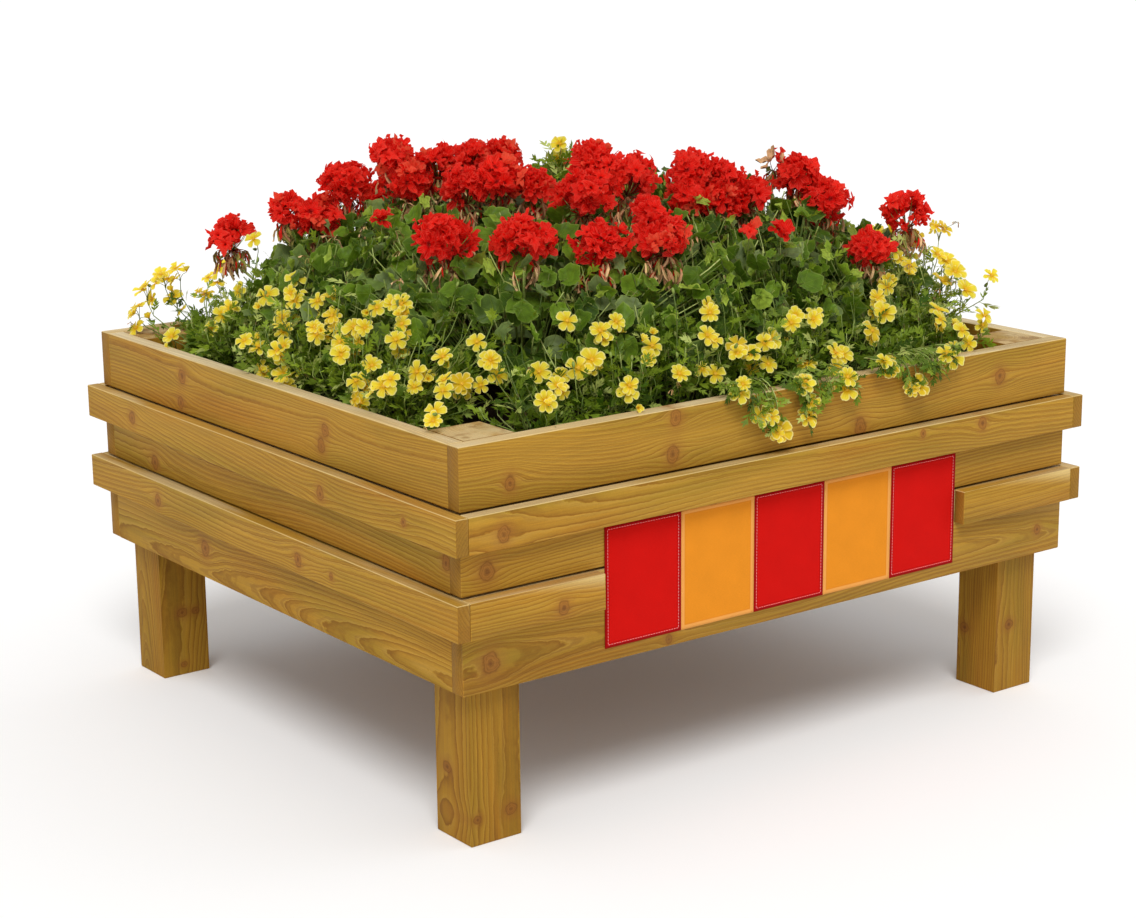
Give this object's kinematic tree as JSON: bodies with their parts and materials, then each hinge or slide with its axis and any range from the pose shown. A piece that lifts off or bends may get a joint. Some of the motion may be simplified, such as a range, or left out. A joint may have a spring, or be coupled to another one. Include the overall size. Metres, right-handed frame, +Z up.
{
  "type": "planted planter box",
  "caption": "Raised timber planter box on four legs with board and batten sides, planted with red geraniums and a border of yellow bidens.",
  "frame": {"origin": "on the ground below the middle of the box", "axes": "+X to the right along the long front side that carries the banner, -Y towards the front, +Z up"},
  "size_m": [1.29, 1.156, 0.9641],
  "materials": {
    "timber": "planed, weathered pine with a clear oil",
    "bare_timber": "rough sawn",
    "membrane": "matte sheet",
    "soil": "moist potting soil",
    "red_fabric": "woven, stitched",
    "orange_fabric": "woven, stitched",
    "geranium_leaf": "soft downy leaf",
    "geranium_petal": "satin petal",
    "bidens_leaf": "fine leaf",
    "bidens_petal": "satin petal"
  },
  "bodies": {
    "root": {"post_front_left": "timber", "post_back_left": "timber", "post_front_right": "timber", "post_back_right": "timber", "board_front_bottom": "timber", "board_back_bottom": "timber", "board_left_bottom": "timber", "board_right_bottom": "timber", "board_front_middle": "timber", "board_back_middle": "timber", "board_left_middle": "timber", "board_right_middle": "timber", "board_front_top": "timber", "board_back_top": "timber", "board_left_top": "timber", "board_right_top": "timber", "batten_left_lower": "timber", "batten_right_lower": "timber", "batten_back_lower": "timber", "batten_left_upper": "timber", "batten_right_upper": "timber", "batten_back_upper": "timber", "batten_front_upper": "timber", "batten_front_lower_left": "timber", "batten_front_lower_right": "timber", "banner_patch_1": "red_fabric", "banner_patch_2": "orange_fabric", "banner_patch_3": "red_fabric", "banner_patch_4": "orange_fabric", "banner_patch_5": "red_fabric", "floor_bearer_front": "bare_timber", "floor_bearer_back": "bare_timber", "floor_panel": "bare_timber", "liner": "membrane", "soil": "soil", "geranium_heads_left_far": "geranium_petal", "geranium_heads_left_crest": "geranium_petal", "geranium_heads_middle_crest": "geranium_petal", "geranium_heads_middle": "geranium_petal", "geranium_heads_front_left": "geranium_petal", "geranium_heads_front_middle": "geranium_petal", "geranium_heads_front_crest": "geranium_petal", "geranium_heads_front_sparse": "geranium_petal", "geranium_heads_front_low": "geranium_petal", "geranium_heads_right_crest": "geranium_petal", "geranium_heads_right_high": "geranium_petal", "geranium_heads_right_low": "geranium_petal", "geranium_heads_right_corner": "geranium_petal", "geranium_heads_back_left": "geranium_petal", "geranium_heads_back_right": "geranium_petal", "geranium_heads_centre": "geranium_petal", "geranium_plant_front_left": "geranium_leaf", "geranium_plant_back_left": "geranium_leaf", "geranium_plant_front_right": "geranium_leaf", "geranium_plant_back_right": "geranium_leaf", "bidens_left": "bidens_leaf", "bidens_front_left": "bidens_leaf", "bidens_front_right": "bidens_leaf", "bidens_right": "bidens_leaf", "bidens_back": "bidens_leaf"}
  },
  "joints": []
}
